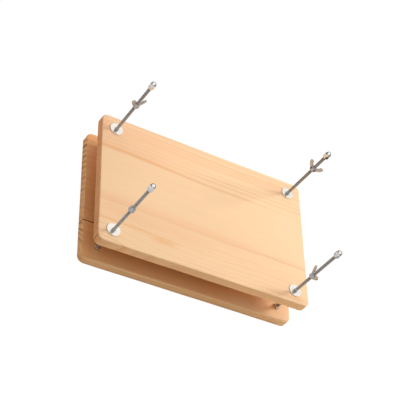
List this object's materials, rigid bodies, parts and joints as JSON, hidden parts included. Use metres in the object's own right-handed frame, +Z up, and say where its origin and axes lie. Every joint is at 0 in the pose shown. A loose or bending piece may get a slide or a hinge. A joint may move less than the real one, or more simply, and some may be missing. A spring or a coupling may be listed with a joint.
{
  "type": "bookbinding press",
  "caption": "Book press of two pine boards on long corner bolts; the upper board slides down and wing nuts over wide washers clamp it, with cap nuts on the bolt ends.",
  "frame": {"origin": "centre of the lower board's underside, which the press stands on", "axes": "+X along the boards' length, +Y from the front long side to the back one, +Z up along the bolts"},
  "size_m": [0.415, 0.27, 0.2109],
  "materials": {
    "pine": "sanded pine, clear and slightly satin, with grain along X",
    "threaded_steel": "bright zinc-plated thread",
    "washer_steel": "bright zinc plate, finely turned",
    "nut_steel": "zinc plate",
    "wing_steel": "cast and nickel-plated, slightly warm",
    "polished_steel": "polished nickel"
  },
  "bodies": {
    "base": {"lower_board": "pine", "bolt_front_left": "threaded_steel", "base_washer_front_left": "washer_steel", "clamp_nut_front_left": "nut_steel", "cap_nut_front_left": "polished_steel", "bolt_front_right": "threaded_steel", "base_washer_front_right": "washer_steel", "clamp_nut_front_right": "nut_steel", "cap_nut_front_right": "polished_steel", "bolt_back_left": "threaded_steel", "base_washer_back_left": "washer_steel", "clamp_nut_back_left": "nut_steel", "cap_nut_back_left": "polished_steel", "bolt_back_right": "threaded_steel", "base_washer_back_right": "washer_steel", "clamp_nut_back_right": "nut_steel", "cap_nut_back_right": "polished_steel"},
    "upper_board": {"upper_board": "pine", "top_washer_front_left": "washer_steel", "top_washer_front_right": "washer_steel", "top_washer_back_left": "washer_steel", "top_washer_back_right": "washer_steel"},
    "wing_nut_front_left": {"wing_nut_front_left": "wing_steel"},
    "wing_nut_front_right": {"wing_nut_front_right": "wing_steel"},
    "wing_nut_back_left": {"wing_nut_back_left": "wing_steel"},
    "wing_nut_back_right": {"wing_nut_back_right": "wing_steel"}
  },
  "joints": [
    {"name": "upper_board_slide", "type": "slide", "parent": "base", "child": "upper_board", "axis": [0, 0, 1], "range_m": [-0.0355, 0.012]},
    {"name": "wing_nut_front_left_travel", "type": "slide", "parent": "upper_board", "child": "wing_nut_front_left", "axis": [0, 0, 1], "range_m": [-0.0582, 0.03119]},
    {"name": "wing_nut_front_right_travel", "type": "slide", "parent": "upper_board", "child": "wing_nut_front_right", "axis": [0, 0, 1], "range_m": [-0.04816, 0.04123]},
    {"name": "wing_nut_back_left_travel", "type": "slide", "parent": "upper_board", "child": "wing_nut_back_left", "axis": [0, 0, 1], "range_m": [-0.06621, 0.02318]},
    {"name": "wing_nut_back_right_travel", "type": "slide", "parent": "upper_board", "child": "wing_nut_back_right", "axis": [0, 0, 1], "range_m": [-0.07817, 0.01122]}
  ]
}
